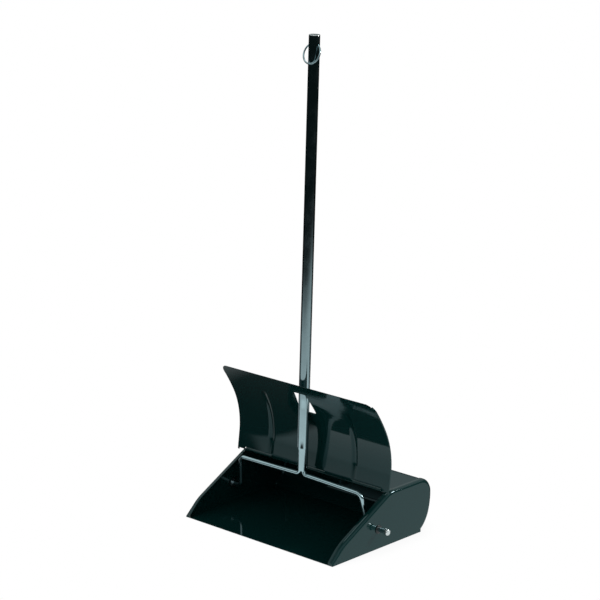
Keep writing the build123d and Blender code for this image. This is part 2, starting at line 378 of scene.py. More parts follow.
def turned(name: str, outline: list[tuple[float, float]], foot: Vector, axis: Vector,
           steps: int = 48) -> bpy.types.Object:
    """A turned piece: an outline of radius and height spun round an axis.

    Args:
        name: The piece's name.
        outline: Radius and height of each point, in metres, from one end to the other.
        foot: The place of height zero on the axis.
        axis: Direction of the axis.
        steps: Facets round the piece.

    Returns:
        The piece, with its place in its mesh.
    """
    clear_selection()
    first = Vector((outline[0][0], 0.0, outline[0][1]))
    bpy.ops.mesh.primitive_plane_add(size=1.0)
    piece = bpy.context.object
    piece.name = name
    edit()
    bpy.ops.mesh.select_mode(type="VERT")
    choose_all()
    bpy.ops.mesh.merge(type="CENTER")
    bpy.ops.transform.translate(value=first)
    here = first
    for radius, height in outline[1:]:
        there = Vector((radius, 0.0, height))
        bpy.ops.mesh.extrude_vertices_move(TRANSFORM_OT_translate={"value": there - here})
        here = there
    choose_all()
    bpy.ops.mesh.spin(steps=steps, angle=2.0 * math.pi, center=(0.0, 0.0, 0.0), axis=UP)
    face_out()
    done()
    stand_along(piece, axis, foot)
    return piece


def bent_rod(name: str, route: list[Vector], bends: list[float], radius: float,
             facets: int = 28) -> bpy.types.Object:
    """A round rod along straight runs joined by tangent bends.

    Args:
        name: The piece's name.
        route: Corners of the rod's middle line, from end to end.
        bends: Radius of the bend at each inner corner.
        radius: The rod's own radius.
        facets: Facets round the rod.

    Returns:
        The rod, closed at both ends.
    """
    rod = open_wire(name, facets, radius, (route[1] - route[0]).normalized(), route[0])
    trace_bends(route, bends, 14)
    close_wire()
    return rod


# ---- colours, nodes and finishes -----------------------------------------------------------------


def linear(colour: str) -> tuple[float, float, float, float]:
    """Turns an sRGB hex colour to linear RGBA."""
    levels = [int(colour[i:i + 2], 16) / 255.0 for i in (1, 3, 5)]
    return (*[c / 12.92 if c <= 0.04045 else ((c + 0.055) / 1.055) ** 2.4 for c in levels], 1.0)


def add_node(tree: bpy.types.NodeTree, kind: str,
             links: dict[str, bpy.types.NodeSocket] | None = None,
             **settings: object) -> bpy.types.Node:
    """Adds a node with its settings, socket values and links.

    Args:
        tree: The node tree.
        kind: The node's type.
        links: Sockets of other nodes, by the name of the input that each feeds.
        **settings: Node properties, or input values where no property has the name, with
            underscores for spaces.

    Returns:
        The new node.
    """
    node = tree.nodes.new(kind)
    for name, value in settings.items():
        if hasattr(node, name):
            setattr(node, name, value)
        else:
            node.inputs[name.replace("_", " ")].default_value = value
    for name, source in (links or {}).items():
        tree.links.new(source, node.inputs[name])
    return node


def noise(tree: bpy.types.NodeTree, place: bpy.types.NodeSocket, size_mm: float,
          **settings: float) -> bpy.types.NodeSocket:
    """Noise with spots of about a size, as the socket of its value."""
    return add_node(tree, "ShaderNodeTexNoise", {"Vector": place}, Scale=1.0 / (size_mm * MM),
                    **settings).outputs["Fac"]


def spread(tree: bpy.types.NodeTree, value: bpy.types.NodeSocket, given: tuple[float, float],
           wanted: tuple[float, float] = (0.0, 1.0)) -> bpy.types.NodeSocket:
    """Maps a value from its given range to a wanted one."""
    return add_node(tree, "ShaderNodeMapRange", {"Value": value}, From_Min=given[0],
                    From_Max=given[1], To_Min=wanted[0], To_Max=wanted[1]).outputs["Result"]


def bumped(tree: bpy.types.NodeTree, height: bpy.types.NodeSocket,
           depth_mm: float) -> bpy.types.NodeSocket:
    """The normal of a surface with a fine relief."""
    return add_node(tree, "ShaderNodeBump", {"Height": height}, Strength=1.0,
                    Distance=depth_mm * MM).outputs["Normal"]


def fill_ramp(ramp: bpy.types.Node,
              stops: list[tuple[float, tuple[float, float, float, float]]]) -> None:
    """Sets a ramp's colours; the first and the last stop stand at its two ends."""
    elements = ramp.color_ramp.elements
    for place, colour in stops[1:-1]:
        elements.new(place).color = colour
    elements[0].color, elements[-1].color = stops[0][1], stops[-1][1]


def blank(name: str) -> tuple[bpy.types.Material, bpy.types.NodeTree, bpy.types.Node]:
    """A material with an empty node tree and its output node.

    Args:
        name: The material's name.

    Returns:
        The material, its tree and its output node.
    """
    material = bpy.data.materials.new(name)
    material.use_nodes = True
    tree = material.node_tree
    tree.nodes.clear()
    return material, tree, add_node(tree, "ShaderNodeOutputMaterial")


@dataclass(frozen=True)
class StovedEnamel:
    """Black stoved enamel on sheet steel: sprayed wet and baked, so it is glassy with a faint
    orange peel and a few dust nibs, and worn to bare steel where the lip scrapes the floor."""

    name: str = "stoved_black_enamel"
    colour: str = "#062524"
    sheen: str = "#a9c9cf"
    steel: str = "#5b5650"
    peel_mm: float = 3.2
    peel_depth_mm: float = 0.004
    nib_mm: float = 1.4
    nib_share: tuple[float, float] = (0.78, 0.86)
    roughness: float = 0.045
    haze_mm: float = 45.0
    haze_share: tuple[float, float] = (0.35, 0.7)
    gloss_swing: tuple[float, float] = (0.7, 1.9)
    steel_roughness: float = 0.42
    lip_y: float = 0.0
    wear_mm: float = 9.0
    wear_share: tuple[float, float] = (0.45, 0.75)
    wear_reach_mm: tuple[float, float] = (-2.0, 3.2)

    def material(self) -> bpy.types.Material:
        """The finished material."""
        material, tree, output = blank(self.name)
        place = add_node(tree, "ShaderNodeTexCoord").outputs["Object"]
        peel = noise(tree, place, self.peel_mm, Detail=2.0, Roughness=0.45)
        nibs = noise(tree, place, self.nib_mm, Detail=0.0)
        haze = noise(tree, place, self.haze_mm, Detail=5.0, Roughness=0.6)
        ragged = noise(tree, place, self.wear_mm, Detail=6.0, Roughness=0.7)
        height = add_node(tree, "ShaderNodeMath", {0: peel, 1: spread(tree, nibs, self.nib_share)},
                          operation="ADD")
        normal = bumped(tree, height.outputs["Value"], self.peel_depth_mm)
        gloss = spread(tree, haze, self.haze_share,
                       (self.roughness * self.gloss_swing[0], self.roughness * self.gloss_swing[1]))
        enamel = add_node(tree, "ShaderNodeBsdfPrincipled", {"Roughness": gloss, "Normal": normal},
                          Base_Color=linear(self.colour), IOR=1.52,
                          Specular_Tint=linear(self.sheen))
        bare = add_node(tree, "ShaderNodeBsdfPrincipled", {"Normal": normal},
                        Base_Color=linear(self.steel), Metallic=1.0,
                        Roughness=self.steel_roughness)
        axes = add_node(tree, "ShaderNodeSeparateXYZ", {"Vector": place})
        reach = spread(tree, ragged, self.wear_share,
                       (self.lip_y + self.wear_reach_mm[0] * MM,
                        self.lip_y + self.wear_reach_mm[1] * MM))
        worn = add_node(tree, "ShaderNodeMath", {0: axes.outputs["Y"], 1: reach},
                        operation="LESS_THAN")
        mixed = add_node(tree, "ShaderNodeMixShader",
                         {0: worn.outputs["Value"], 1: enamel.outputs["BSDF"],
                          2: bare.outputs["BSDF"]})
        tree.links.new(mixed.outputs["Shader"], output.inputs["Surface"])
        return material


@dataclass(frozen=True)
class PlatedMetal:
    """Bright plate on steel: polished before plating, so it is a mirror with fine drawing lines
    along the tube and faint dull smears from handling."""

    name: str = "chrome_plate"
    colour: str = "#a8bfc4"
    roughness: float = 0.09
    smear: float = 0.10
    smear_mm: float = 30.0
    smear_share: tuple[float, float] = (0.4, 0.75)
    dulling: float = 0.82
    line_mm: float = 0.5
    line_depth_mm: float = 0.0012
    stretch: tuple[float, float, float] = (1.0, 1.0, 0.02)

    def material(self) -> bpy.types.Material:
        """The finished material."""
        material, tree, output = blank(self.name)
        place = add_node(tree, "ShaderNodeTexCoord").outputs["Object"]
        along = add_node(tree, "ShaderNodeMapping", {"Vector": place}, Scale=self.stretch)
        lines = noise(tree, along.outputs["Vector"], self.line_mm, Detail=2.0)
        smears = noise(tree, place, self.smear_mm, Detail=6.0, Roughness=0.65)
        gloss = spread(tree, smears, self.smear_share,
                       (self.roughness, self.roughness + self.smear))
        tone = add_node(tree, "ShaderNodeMix", {"Factor": smears}, data_type="RGBA")
        bright = linear(self.colour)
        tone.inputs["A"].default_value = bright
        tone.inputs["B"].default_value = (*[c * self.dulling for c in bright[:3]], 1.0)
        plate = add_node(tree, "ShaderNodeBsdfPrincipled",
                         {"Roughness": gloss, "Normal": bumped(tree, lines, self.line_depth_mm)},
                         Metallic=1.0)
        tree.links.new(tone.outputs["Result"], plate.inputs["Base Color"])
        tree.links.new(plate.outputs["BSDF"], output.inputs["Surface"])
        return material


@dataclass(frozen=True)
class MouldedPlastic:
    """Black moulded nylon: a fine spark-eroded grain that gives it a soft sheen."""

    name: str = "moulded_black_nylon"
    colour: str = "#0b0d0d"
    grain_mm: float = 0.25
    grain_depth_mm: float = 0.006
    sheen: tuple[float, float] = (0.34, 0.52)

    def material(self) -> bpy.types.Material:
        """The finished material."""
        material, tree, output = blank(self.name)
        place = add_node(tree, "ShaderNodeTexCoord").outputs["Object"]
        grain = noise(tree, place, self.grain_mm, Detail=3.0)
        sheen = spread(tree, grain, (0.0, 1.0), self.sheen)
        nylon = add_node(tree, "ShaderNodeBsdfPrincipled",
                         {"Roughness": sheen, "Normal": bumped(tree, grain, self.grain_depth_mm)},
                         Base_Color=linear(self.colour), IOR=1.53)
        tree.links.new(nylon.outputs["BSDF"], output.inputs["Surface"])
        return material


@dataclass(frozen=True)
class Finishes:
    """The materials of the whole pan, made once."""

    enamel: bpy.types.Material
    chrome: bpy.types.Material
    bright_cap: bpy.types.Material
    zinc: bpy.types.Material
    nylon: bpy.types.Material


def dress(piece: bpy.types.Object, material: bpy.types.Material) -> None:
    """Gives a piece its material."""
    piece.data.materials.clear()
    piece.data.materials.append(material)


def settle(piece: bpy.types.Object, body: str, *nodes: str) -> bpy.types.Object:
    """Makes a piece ride on its body in place of the frame's own nodes.

    Args:
        piece: The finished piece.
        body: The body that it moves with.
        *nodes: Frame nodes that it stands for.

    Returns:
        The piece.
    """
    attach(piece, body)
    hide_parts(*nodes)
    log.info("%s: %d faces on %s", piece.name, len(piece.data.polygons), body)
    return piece


# ---- the pan -------------------------------------------------------------------------------------


@dataclass
class SideOutline:
    """The pan's outline from the side, in metres from the lip and from the floor."""

    depth: float = 223.0 * MM
    height: float = 83.0 * MM
    heel_radius: float = 51.0 * MM
    back_radius: float = 106.0 * MM
    back_turn: float = math.radians(16.5)
    crown_radius: float = 24.5 * MM

    def centres(self) -> tuple[Vector, Vector, Vector]:
        """Centres of the crown, the back and the heel, as points of the side plane."""
        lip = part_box("left_end_panel")[0].y
        crown = Vector((0.0, lip + self.depth - self.crown_radius, self.height - self.crown_radius))
        back = Vector((0.0, lip + self.depth - self.back_radius, crown.z))
        step = self.back_radius - self.heel_radius
        heel = back + Vector((0.0, step * math.cos(self.back_turn),
                              -step * math.sin(self.back_turn)))
        return crown, back, heel

    def heel_turn(self, inset: float) -> float:
        """Angle of the heel's arc from the floor to the back, moved in by an inset."""
        heel = self.centres()[2]
        return math.asin(heel.z / (self.heel_radius - inset)) - self.back_turn

    def foot_end(self, inset: float) -> float:
        """Where the level floor ends and the heel begins."""
        heel = self.centres()[2]
        return heel.y + math.sqrt((self.heel_radius - inset) ** 2 - heel.z ** 2)


@dataclass
class Pan:
    """The enamelled body: one strip of sheet, two end panels and the hinge's pin."""

    finishes: Finishes
    outline: SideOutline = field(default_factory=SideOutline)
    sheet: float = 0.9 * MM
    lap: float = 0.05 * MM
    shoulder: float = 6.0 * MM
    trim_in: float = 0.3 * MM
    flange: float = 9.0 * MM
    nose: float = 5.0 * MM
    knee: tuple[float, float] = (20.6 * MM, 25.6 * MM)
    knee_radius: float = 80.0 * MM
    rim_end: float = 128.0 * MM
    rim_blend: float = 40.0 * MM
    hinge_back: float = 120.5 * MM
    knuckle_radius: float = 2.5 * MM
    pin_radius: float = 1.5 * MM
    hinge_span: float = 280.0 * MM
    knuckles: int = 5

    def __post_init__(self) -> None:
        """Reads the pan's place from the frame."""
        self.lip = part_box("left_end_panel")[0].y
        self.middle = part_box("right_end_panel")[1].x
        self.hinge = Vector((0.0, self.lip + self.hinge_back,
                             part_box("lid_hinge_pin")[0].z + self.pin_radius))

    def build(self) -> None:
        """Makes every piece of the pan."""
        self.strip()
        right = self.end_panel()
        left = mirrored(right, "enamelled_left_end")
        for panel, node in ((right, "right_end_panel"), (left, "left_end_panel")):
            dress(panel, self.finishes.enamel)
            settle(panel, "pan", node)
        self.pin()

    def strip(self) -> None:
        """Floor, heel, back and top in one strip of sheet, with three rolled knuckles."""
        inset = self.sheet + self.lap
        strip = self.band("enamelled_strip", inset, 0.0, 2.0 * (self.middle - inset))
        crown = self.outline.centres()[0]
        drag(Vector((0.0, self.lip + self.hinge_back - crown.y, 0.0)))
        face_out()
        self.trim_strip()
        done()
        modify(strip, "SOLIDIFY", thickness=self.sheet, offset=-1.0, use_even_offset=True)
        strip = smooth(join("enamelled_strip", [strip] + self.knuckle_row()))
        dress(strip, self.finishes.enamel)
        settle(strip, "pan", "pan_sheet")

    def band(self, name: str, inset: float, centre: float, width: float) -> bpy.types.Object:
        """A band of sheet from the lip along the floor, up the back and over the crown.

        Args:
            name: The piece's name.
            inset: How far it lies inside the outline at the heel, the back and the crown.
            centre: Its middle along +X.
            width: Its width.

        Returns:
            The band, left open in edit mode with its leading edge selected.
        """
        crown, back, heel = self.outline.centres()
        foot_end = self.outline.foot_end(inset)
        band = flat_sheet(name, (width, foot_end - self.lip),
                          Vector((centre, (self.lip + foot_end) / 2.0, 0.0)))
        choose(Elements.EDGES, lambda middle, _: middle.y > foot_end - TOUCH)
        swing(heel, RIGHT, self.outline.heel_turn(inset), 20)
        swing(back, RIGHT, self.outline.back_turn, 8)
        swing(crown, RIGHT, math.pi / 2.0, 16)
        return band

    def trim_strip(self) -> None:
        """Narrows the strip where the end panels curve in over it."""
        edge = self.middle - self.shoulder - self.trim_in
        above = 2.0 * self.sheet
        for side in Side:
            choose(Elements.FACES, lambda middle, _: middle.z > above)
            slice_at(RIGHT * (side.value * edge), RIGHT)
        choose(Elements.FACES, lambda middle, _: middle.z > above and abs(middle.x) > edge)
        drop_faces()

    def knuckle_row(self) -> list[bpy.types.Object]:
        """The knuckles rolled from the strip's front edge: every second place along the hinge."""
        pitch = self.hinge_span / self.knuckles
        made = []
        for n in range(0, self.knuckles, 2):
            start = self.hinge + RIGHT * (n * pitch - self.hinge_span / 2.0)
            made.append(rolled_knuckle(f"pan_knuckle_{n}", start, pitch, self.knuckle_radius,
                                       self.pin_radius))
        return made

    def end_panel(self) -> bpy.types.Object:
        """The right end panel: its outline traced as a band, closed with a face and rounded."""
        panel = self.band("enamelled_right_end", 0.0, self.middle - self.flange / 2.0, self.flange)
        crown = self.outline.centres()[0]
        trace_bends([crown + UP * self.outline.crown_radius,
                     self.rim_point(self.rim_end, self.outline.height),
                     self.rim_point(*self.knee), self.rim_point(0.0, self.nose)],
                    [self.rim_blend, self.knee_radius], 12)
        drag(Vector((0.0, 0.0, -self.nose)))
        weld()
        choose(Elements.EDGES, lambda middle, _: middle.x > self.middle - TOUCH)
        bpy.ops.mesh.edge_face_add()
        face_out()
        low = 1.0 * MM
        choose(Elements.EDGES, lambda middle, _: middle.x > self.middle - TOUCH
               and middle.z > low and middle.y > self.lip + low)
        bpy.ops.mesh.bevel(offset=self.shoulder, segments=8, profile=0.5, affect="EDGES")
        choose(Elements.FACES, lambda middle, normal: middle.z < low and abs(normal.z) > 0.99)
        drop_faces()
        done()
        modify(panel, "SOLIDIFY", thickness=self.sheet, offset=-1.0, use_even_offset=True)
        return smooth(panel)

    def rim_point(self, back: float, height: float) -> Vector:
        """A point of the mouth's rim, from its distance behind the lip and its height."""
        return Vector((0.0, self.lip + back, height))

    def pin(self) -> None:
        """The hinge's wire pin, with its ends rounded over."""
        low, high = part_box("lid_hinge_pin")
        edge = 0.5 * MM
        length = high.x - low.x
        outline = [(0.0, 0.0), (self.pin_radius - edge, 0.0), (self.pin_radius, edge),
                   (self.pin_radius, length - edge), (self.pin_radius - edge, length),
                   (0.0, length)]
        pin = smooth(turned("plated_hinge_pin", outline, self.hinge + RIGHT * low.x, RIGHT, 20))
        dress(pin, self.finishes.zinc)
        settle(pin, "pan", "lid_hinge_pin")


def rolled_knuckle(name: str, start: Vector, length: float, radius: float,
                   bore: float) -> bpy.types.Object:
    """A knuckle rolled from sheet: a tube with its edges broken.

    Args:
        name: The piece's name.
        start: Left end of its axis.
        length: Its length along +X.
        radius: Outer radius.
        bore: Radius of the pin that it turns on.

    Returns:
        The knuckle.
    """
    hole = bore + 0.05 * MM
    edge = 0.15 * MM
    outline = [(hole, 0.0), (radius - edge, 0.0), (radius, edge), (radius, length - edge),
               (radius - edge, length), (hole, length), (hole, 0.0)]
    return turned(name, outline, start, RIGHT, 24)


# ---- the lid -------------------------------------------------------------------------------------


@dataclass
class Lid:
    """The curved lid: one sheet with folded edges, two pressed beads, the handle's slot with its
    edge turned back, two rolled knuckles, and the ends of its foot lowered outside the hinge."""

    finishes: Finishes
    hinge: Vector
    lip: float
    width: float = 312.6 * MM
    sheet: float = 0.7 * MM
    knuckle_radius: float = 2.5 * MM
    pin_radius: float = 1.5 * MM
    pitch: float = 56.0 * MM
    knuckle_gap: float = 0.6 * MM
    clear: float = 3.3 * MM
    lean: float = math.radians(7.5)
    flat: float = 25.0 * MM
    bend: tuple[float, float] = (108.7 * MM, 181.0 * MM)
    top: tuple[float, float] = (79.5 * MM, 226.5 * MM)
    corner: float = 14.0 * MM
    hem: float = 4.0 * MM
    hem_thick: float = 2.2 * MM
    slot_low: float = 176.3 * MM
    slot_high: float = 210.0 * MM
    slot_low_half: float = 18.0 * MM
    slot_high_half: float = 12.4 * MM
    slot_corner: float = 3.5 * MM
    slot_turn: float = 1.6 * MM
    slot_margin: float = 6.0 * MM
    slot_near: float = 0.05 * MM
    ear_inner: float = 153.2 * MM
    foot_inner: float = 141.0 * MM
    bead_place: float = 86.0 * MM
    bead_half: float = 6.5 * MM
    bead_depth: float = 1.5 * MM
    bead_low: float = 110.0 * MM
    bead_high: float = 190.0 * MM

    def build(self) -> None:
        """Makes the lid."""
        sheet = self.curved_sheet()
        self.cut_slot()
        self.press_beads()
        done()
        modify(sheet, "SOLIDIFY", thickness=self.sheet, offset=-1.0, use_even_offset=True)
        self.fold_hems(sheet)
        lid = join("enamelled_lid", [sheet] + self.knuckle_row())
        smooth(lid, 30.0)
        dress(lid, self.finishes.enamel)
        settle(lid, "lid", "lid")

    def curved_sheet(self) -> bpy.types.Object:
        """The sheet: a flat foot, then two tangent arcs, cut to its rounded outline.

        Returns:
            The sheet with no thickness yet, left open in edit mode.
        """
        foot = Vector((0.0, self.hinge.y - self.knuckle_radius, self.hinge.z))
        rise = Vector((0.0, math.sin(self.lean), math.cos(self.lean)))
        sheet = flat_sheet("enamelled_lid", (self.width, self.flat),
                           foot + rise * (self.flat / 2.0), math.pi / 2.0 - self.lean)
        flat_end = foot + rise * self.flat
        bend = Vector((0.0, self.lip + self.bend[0], self.bend[1]))
        top = Vector((0.0, self.lip + self.top[0], self.top[1]))
        choose(Elements.EDGES, lambda middle, _: middle.z > flat_end.z - TOUCH)
        heading = self.arc_to(flat_end, bend, rise, 24)
        self.arc_to(bend, top, heading, 18)
        weld()
        self.square_up()
        self.round_corners()
        self.trim_foot()
        return sheet

    def arc_to(self, start: Vector, end: Vector, heading: Vector, steps: int) -> Vector:
        """Extrudes the selected edge round the arc that leaves along a heading.

        Args:
            start: Where the edge stands.
            end: Where the arc ends.
            heading: Direction of the sheet at the start.
            steps: Number of strips.

        Returns:
            The sheet's direction at the end.
        """
        chord = end - start
        half_turn = heading.angle(chord)
        axis = heading.cross(chord).normalized()
        radius = chord.length / (2.0 * math.sin(half_turn))
        swing(start + axis.cross(heading) * radius, axis, 2.0 * half_turn, steps)
        return Quaternion(axis, 2.0 * half_turn) @ heading

    def square_up(self) -> None:
        """Cuts the sheet into narrow columns, with finer ones over the beads and the slot."""
        places = [self.width * (n / 40.0 - 0.5) for n in range(1, 40)]
        for side in Side:
            places += [side.value * (self.bead_place + self.bead_half * k / 4.0)
                       for k in range(-4, 5)]
            places.append(side.value * (self.width / 2.0 - self.hem))
        for place in sorted(places):
            choose_all()
            slice_at(RIGHT * place, RIGHT)
        slot_height = self.slot_high - self.slot_low
        for k in range(7):
            choose_all()
            slice_at(UP * (self.slot_low + slot_height * k / 6.0), UP)
        weld(0.2 * MM)

    def round_corners(self) -> None:
        """Cuts the two upper corners round."""
        for side in Side:
            across = RIGHT * side.value
            centre = across * (self.width / 2.0 - self.corner) + UP * (self.top[1] - self.corner)
            for point, outward in corner_planes(centre, across, self.corner):
                choose_all()
                slice_at(point, outward, drop_outer=True)

    def trim_foot(self) -> None:
        """Cuts the foot away between the lid's knuckles and the ears, and lowers its two ends.

        What stays below the cut is a tongue above each knuckle, and an ear at each end outside the
        hinge, whose outer part is drawn down to the level of the knuckles' lower side.
        """
        level = self.hinge.z + self.clear
        choose_all()
        slice_at(UP * level, UP)
        tongue_half = (self.pitch - self.knuckle_gap) / 2.0
        cuts = [centre + edge for centre in (-self.pitch, self.pitch)
                for edge in (-tongue_half, tongue_half)]
        cuts += [side.value * inner for side in Side for inner in (self.ear_inner, self.foot_inner)]
        for cut in cuts:
            choose(Elements.FACES, lambda middle, _: middle.z < level)
            slice_at(RIGHT * cut, RIGHT)
        choose(Elements.FACES, lambda middle, _: middle.z < level
               and abs(abs(middle.x) - self.pitch) > tongue_half
               and abs(middle.x) < self.foot_inner)
        drop_faces()
        choose(Elements.EDGES, lambda middle, _: middle.z < self.hinge.z + TOUCH
               and abs(middle.x) > self.ear_inner)
        drag(UP * -self.knuckle_radius)

    def slot_planes(self) -> list[Plane]:
        """Planes round the slot, each a point and its outward normal, with its corners rounded."""
        corners = [RIGHT * half + UP * height for half, height in (
            (-self.slot_low_half, self.slot_low), (self.slot_low_half, self.slot_low),
            (self.slot_high_half, self.slot_high), (-self.slot_high_half, self.slot_high))]
        planes = []
        for n, corner in enumerate(corners):
            before = (corner - corners[n - 1]).normalized()
            after = (corners[(n + 1) % 4] - corner).normalized()
            out_before = BACK.cross(before)
            out_after = BACK.cross(after)
            planes.append((corner, out_after))
            turn = out_before.angle(out_after)
            inward = (after - before).normalized()
            centre = corner + inward * (self.slot_corner / math.cos(turn / 2.0))
            for step in range(1, 5):
                mix = out_before.slerp(out_after, step / 5.0)
                planes.append((centre + mix * self.slot_corner, mix))
        return planes

    def cut_slot(self) -> None:
        """Cuts the handle's slot and turns its edge back."""
        carve(self.slot_planes(), lambda middle: self.by_slot(middle, self.slot_margin))
        bpy.ops.mesh.select_mode(type="EDGE")
        bpy.ops.mesh.select_all(action="DESELECT")
        shape = bmesh.from_edit_mesh(bpy.context.object.data)
        for edge in shape.edges:
            middle = (edge.verts[0].co + edge.verts[1].co) / 2.0
            if edge.is_boundary and self.by_slot(middle, self.slot_near):
                edge.select_set(True)
        bmesh.update_edit_mesh(bpy.context.object.data)
        drag(Vector((0.0, self.slot_turn * 0.5, self.slot_turn * 0.1)))
        drag(Vector((0.0, self.slot_turn * 0.5, self.slot_turn * 0.3)))

    def by_slot(self, place: Vector, margin: float) -> bool:
        """Says whether a place lies within a margin of the slot."""
        return (abs(place.x) < self.slot_low_half + margin
                and self.slot_low - margin < place.z < self.slot_high + margin)

    def press_beads(self) -> None:
        """Presses a shallow upright bead into each half of the sheet."""
        for side in Side:
            centre = side.value * self.bead_place
            choose(Elements.POINTS, lambda place, _: abs(place.x - centre) < 0.3 * MM
                   and self.bead_low < place.z < self.bead_high)
            press(BACK * self.bead_depth, self.bead_half)

    def fold_hems(self, sheet: bpy.types.Object) -> None:
        """Thickens the sheet's two sides on the back, as a folded hem does."""
        take(sheet)
        edit()
        inner = self.width / 2.0 - self.hem
        choose(Elements.FACES, lambda middle, normal: normal.y > 0.3 and abs(middle.x) > inner
               and middle.z > self.hinge.z + self.clear)
        bpy.ops.mesh.extrude_region_shrink_fatten(
            TRANSFORM_OT_shrink_fatten={"value": self.hem_thick - self.sheet})
        done()

    def knuckle_row(self) -> list[bpy.types.Object]:
        """The two knuckles rolled from the lid's foot."""
        length = self.pitch - self.knuckle_gap
        starts = [self.hinge + RIGHT * (centre - length / 2.0)
                  for centre in (-self.pitch, self.pitch)]
        return [rolled_knuckle(f"lid_knuckle_{n}", start, length, self.knuckle_radius,
                               self.pin_radius) for n, start in enumerate(starts)]


# ---- the bail and its pivots ---------------------------------------------------------------------


def edge_arc(radius: float, height: float, edge: float,
             steps: int = 5) -> list[tuple[float, float]]:
    """Outline points round an outer edge, from the end face towards the side of a turned piece."""
    turns = [math.pi / 2.0 * n / steps for n in range(steps + 1)]
    return [(radius - edge + edge * math.sin(turn), height - edge + edge * math.cos(turn))
            for turn in turns]


@dataclass
class Bail:
    """The wire bail in two bent rods, and the bush, washer and push-on cap at each journal."""

    finishes: Finishes
    lip: float
    middle: float
    foot: Vector
    up: Vector
    radius: float = 3.5 * MM
    arm_inset: float = 20.0 * MM
    corner: tuple[float, float, float] = (124.6 * MM, 92.4 * MM, 80.8 * MM)
    pivot: tuple[float, float] = (100.5 * MM, 30.5 * MM)
    leg_half: float = 3.55 * MM
    leg_top: float = 40.0 * MM
    leg_round: float = 2.6 * MM
    bends: tuple[float, float, float] = (6.5 * MM, 9.0 * MM, 9.0 * MM)
    journal_out: float = 20.0 * MM
    journal_short: float = 1.5 * MM
    play: float = 0.08 * MM
    sheet: float = 0.9 * MM
    lap: float = 0.05 * MM
    bush_flange: float = 6.5 * MM
    bush_neck: float = 5.0 * MM
    bush_collar: float = 5.8 * MM
    bush_rim: float = 1.4 * MM
    collar_thick: float = 1.0 * MM
    washer_radius: float = 6.5 * MM
    washer_thick: float = 1.2 * MM
    washer_gap: float = 0.3 * MM
    cap_radius: float = 4.8 * MM
    cap_length: float = 6.5 * MM
    cap_edge: float = 1.6 * MM

    def build(self) -> None:
        """Makes both rods and both pivots."""
        rod = self.rod()
        bush, washer, cap = self.bush(), self.washer(), self.cap()
        chrome, nylon = self.finishes.chrome, self.finishes.nylon
        zinc, bright = self.finishes.zinc, self.finishes.bright_cap
        for piece, name, node, body, finish, slot in (
                (rod, "chromed_rod", "bail_{}_rod", "bail_and_handle", chrome, "chrome"),
                (bush, "nylon_bush", "{}_pivot_bush", "pan", nylon, "black_plastic"),
                (washer, "plated_washer", "{}_pivot_washer", "bail_and_handle", zinc, "zinc_steel"),
                (cap, "bright_cap", "{}_pivot_cap", "bail_and_handle", bright, "chrome_cap")):
            twin = mirrored(piece, f"{name}_left")
            piece.name = f"{name}_right"
            for side, made in (("right", piece), ("left", twin)):
                dress(made, finish)
                settle(made, body, node.format(side))

    def pivot_at(self, reach: float) -> Vector:
        """A point of the pivots' axis."""
        return Vector((reach, self.lip + self.pivot[0], self.pivot[1]))

    def rod(self) -> bpy.types.Object:
        """The right rod: leg, half of the crossbar, arm and journal."""
        leg_foot = self.foot + self.up * ((self.corner[2] - self.foot.z) / self.up.z)
        side = RIGHT * self.leg_half
        route = [leg_foot + side + self.up * self.leg_top, leg_foot + side,
                 Vector((self.corner[0], self.lip + self.corner[1], self.corner[2])),
                 self.pivot_at(self.middle - self.arm_inset),
                 self.pivot_at(self.middle + self.journal_out - self.journal_short)]
        rod = bent_rod("chromed_rod", route, list(self.bends), self.radius)
        take(rod)
        edit()
        near = 0.1 * MM
        choose(Elements.EDGES, lambda middle, _: abs((middle - route[0]).dot(self.up)) < near)
        bpy.ops.mesh.bevel(offset=self.leg_round, segments=6, affect="EDGES")
        done()
        return smooth(rod, 40.0)

    def bush(self) -> bpy.types.Object:
        """The bush: a rounded flange outside the wall, a neck through it and a collar inside."""
        hole = self.radius + self.play
        inside = -self.sheet - self.lap
        rim = edge_arc(self.bush_flange, self.lap + self.bush_rim, self.bush_rim / 2.0)
        outline = [(hole, self.lap + self.bush_rim)] + rim + [
            (self.bush_flange, self.lap), (self.bush_neck, self.lap), (self.bush_neck, inside),
            (self.bush_collar, inside), (self.bush_collar, inside - self.collar_thick),
            (hole, inside - self.collar_thick), (hole, self.lap + self.bush_rim)]
        return smooth(turned("nylon_bush", outline, self.pivot_at(self.middle), RIGHT), 40.0)

    def washer(self) -> bpy.types.Object:
        """The washer on the arm, inside the wall, with its edges broken."""
        hole = self.radius + self.play
        edge = 0.2 * MM
        outer = -self.sheet - self.lap - self.collar_thick - self.washer_gap
        rim = edge_arc(self.washer_radius, outer, edge, 2)
        inner = outer - self.washer_thick
        outline = [(hole, outer)] + rim + [
            (self.washer_radius, inner), (hole, inner), (hole, outer)]
        return smooth(turned("plated_washer", outline, self.pivot_at(self.middle), RIGHT), 40.0)

    def cap(self) -> bpy.types.Object:
        """The push-on cap, with a rounded end and a bore for the journal."""
        bore = self.radius + self.lap
        floor = self.journal_out - self.journal_short
        end, mouth = self.journal_out, self.journal_out - self.cap_length
        outline = [(0.0, end)] + edge_arc(self.cap_radius, end, self.cap_edge, 6) + [
            (self.cap_radius, mouth), (bore, mouth), (bore, floor), (0.0, floor)]
        return smooth(turned("bright_cap", outline, self.pivot_at(self.middle), RIGHT), 40.0)


# ---- the handle ----------------------------------------------------------------------------------


